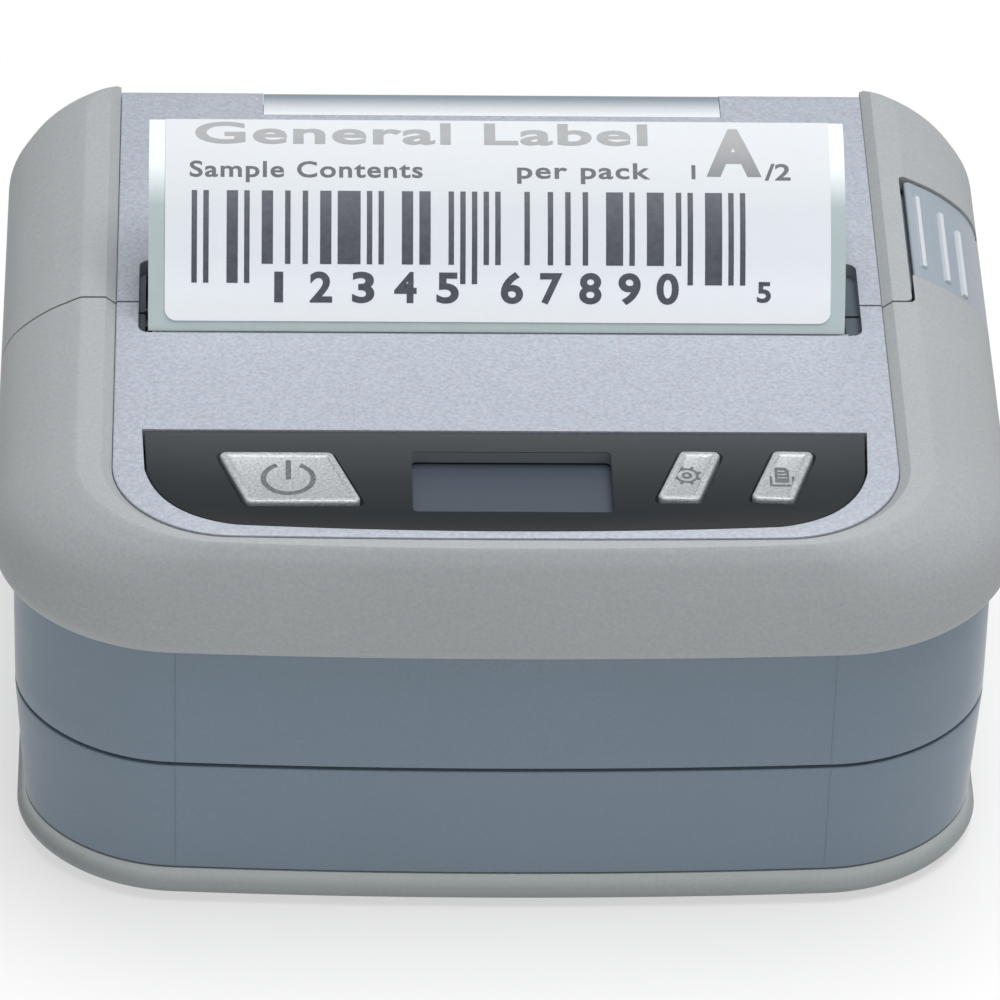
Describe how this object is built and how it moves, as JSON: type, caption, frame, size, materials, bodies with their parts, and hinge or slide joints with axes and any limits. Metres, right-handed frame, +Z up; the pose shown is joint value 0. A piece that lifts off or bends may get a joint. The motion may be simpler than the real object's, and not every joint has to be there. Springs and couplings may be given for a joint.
{
  "type": "label maker",
  "caption": "Portable thermal label printer: hinged roll lid with latch, platen and print head, key panel and display, with a label leaving the slot.",
  "frame": {"origin": "middle of the footprint, on the surface it stands on", "axes": "+Z up, -Y towards the control panel (front), +X to the operator's right"},
  "size_m": [0.112, 0.095, 0.065],
  "materials": {
    "bumper_grey": "satin",
    "foot_grey": "satin",
    "body_blue": "satin",
    "deck_silver": "fine metallic speckle",
    "panel_black": "gloss",
    "display_grey": "gloss",
    "button_silver": "metallic speckle",
    "latch_grey": "satin",
    "window_smoke": "translucent gloss",
    "inner_black": "matte",
    "steel": "plain",
    "aluminium": "plain",
    "rubber_black": "matte",
    "gear_white": "plain",
    "pcb_green": "solder mask",
    "chip_black": "plain",
    "ceramic": "glazed",
    "battery_blue": "shrink film",
    "label_white": "coated paper",
    "liner_green": "glassine paper",
    "card_brown": "card"
  },
  "bodies": {
    "base": {"foot_rim": "foot_grey", "lower_body": "body_blue", "upper_body": "body_blue", "top_bumper": "bumper_grey", "deck_panel": "deck_silver", "control_panel": "panel_black", "display_window": "display_grey", "lcd_module": "chip_black", "key_board": "pcb_green", "power_switch": "chip_black", "settings_switch": "chip_black", "print_switch": "chip_black", "tear_bar": "steel", "head_bracket": "steel", "head_spring_left": "steel", "head_spring_right": "steel", "feed_motor": "steel", "gear_plate": "steel", "main_board": "pcb_green", "main_chip": "chip_black", "usb_socket": "steel", "battery": "battery_blue", "battery_cover": "foot_grey", "roll_bay": "inner_black", "paper_web": "liner_green", "gap_sensor": "chip_black", "latch_spring": "steel", "hinge_pin_left": "steel", "hinge_pin_right": "steel", "rubber_foot_1": "rubber_black", "rubber_foot_2": "rubber_black", "rubber_foot_3": "rubber_black", "rubber_foot_4": "rubber_black", "case_screw_1": "steel", "case_screw_2": "steel", "case_screw_3": "steel", "case_screw_4": "steel"},
    "lid": {"lid_panel": "deck_silver", "lid_bumper_left": "bumper_grey", "lid_bumper_right": "bumper_grey", "lid_window": "window_smoke", "lid_frame": "inner_black"},
    "platen": {"platen_roller": "rubber_black", "platen_shaft": "steel", "platen_gear": "inner_black"},
    "idler": {"idler_gear": "gear_white"},
    "pinion": {"motor_pinion": "steel"},
    "roll": {"label_roll": "label_white", "roll_core": "card_brown"},
    "guide_l": {"guide_left": "inner_black"},
    "guide_r": {"guide_right": "inner_black"},
    "paper": {"backing_strip": "liner_green", "printed_label": "label_white"},
    "power_key": {"power_button": "button_silver"},
    "settings_key": {"settings_button": "button_silver"},
    "print_key": {"print_button": "button_silver"},
    "latch": {"latch_button": "latch_grey", "latch_hook": "steel"},
    "head": {"print_head": "ceramic", "heat_sink": "aluminium"}
  },
  "joints": [
    {"name": "lid_hinge", "type": "hinge", "parent": "base", "child": "lid", "pos_m": [0, 0.04582, 0.03575], "axis": [-1, 0, 0], "range_deg": [0, 95]},
    {"name": "platen_spin", "type": "hinge", "parent": "lid", "child": "platen", "pos_m": [0, 0.00252, 0.0415], "axis": [1, 0, 0], "continuous": true},
    {"name": "idler_spin", "type": "hinge", "parent": "base", "child": "idler", "pos_m": [-0.0398, 0.00252, 0.0301], "axis": [1, 0, 0], "continuous": true},
    {"name": "pinion_spin", "type": "hinge", "parent": "base", "child": "pinion", "pos_m": [-0.0398, -0.00607, 0.0254], "axis": [1, 0, 0], "continuous": true},
    {"name": "roll_spin", "type": "hinge", "parent": "base", "child": "roll", "pos_m": [0, 0.02212, 0.0244], "axis": [1, 0, 0], "continuous": true},
    {"name": "guide_left_slide", "type": "slide", "parent": "base", "child": "guide_l", "axis": [-1, 0, 0], "range_m": [0, 0.004]},
    {"name": "guide_right_slide", "type": "slide", "parent": "base", "child": "guide_r", "axis": [1, 0, 0], "range_m": [0, 0.004]},
    {"name": "label_fold", "type": "hinge", "parent": "base", "child": "paper", "pos_m": [0, -0.00347, 0.0483], "axis": [1, 0, 0], "range_deg": [0, 68]},
    {"name": "power_press", "type": "slide", "parent": "base", "child": "power_key", "axis": [0, 0, -1], "range_m": [0, 0.0005], "stiffness_N_per_m": 600, "springref_m": -0.0005},
    {"name": "settings_press", "type": "slide", "parent": "base", "child": "settings_key", "axis": [0, 0, -1], "range_m": [0, 0.0005], "stiffness_N_per_m": 600, "springref_m": -0.0005},
    {"name": "print_press", "type": "slide", "parent": "base", "child": "print_key", "axis": [0, 0, -1], "range_m": [0, 0.0005], "stiffness_N_per_m": 600, "springref_m": -0.0005},
    {"name": "latch_slide", "type": "slide", "parent": "base", "child": "latch", "axis": [-1, 0, 0], "range_m": [0, 0.0008], "stiffness_N_per_m": 1500, "springref_m": -0.0008, "deforming": ["latch_spring"]},
    {"name": "head_tilt", "type": "hinge", "parent": "base", "child": "head", "pos_m": [0, -0.00528, 0.031], "axis": [1, 0, 0], "range_deg": [0, 1.2], "stiffness_Nm_per_rad": 1, "springref_deg": -1.15}
  ],
  "couplings": [
    {"joint": "idler_spin", "follows": "platen_spin", "ratio": -0.93333},
    {"joint": "pinion_spin", "follows": "platen_spin", "ratio": 1.75},
    {"joint": "guide_right_slide", "follows": "guide_left_slide", "ratio": 1},
    {"joint": "label_fold", "follows": "lid_hinge", "ratio": 0.7}
  ]
}
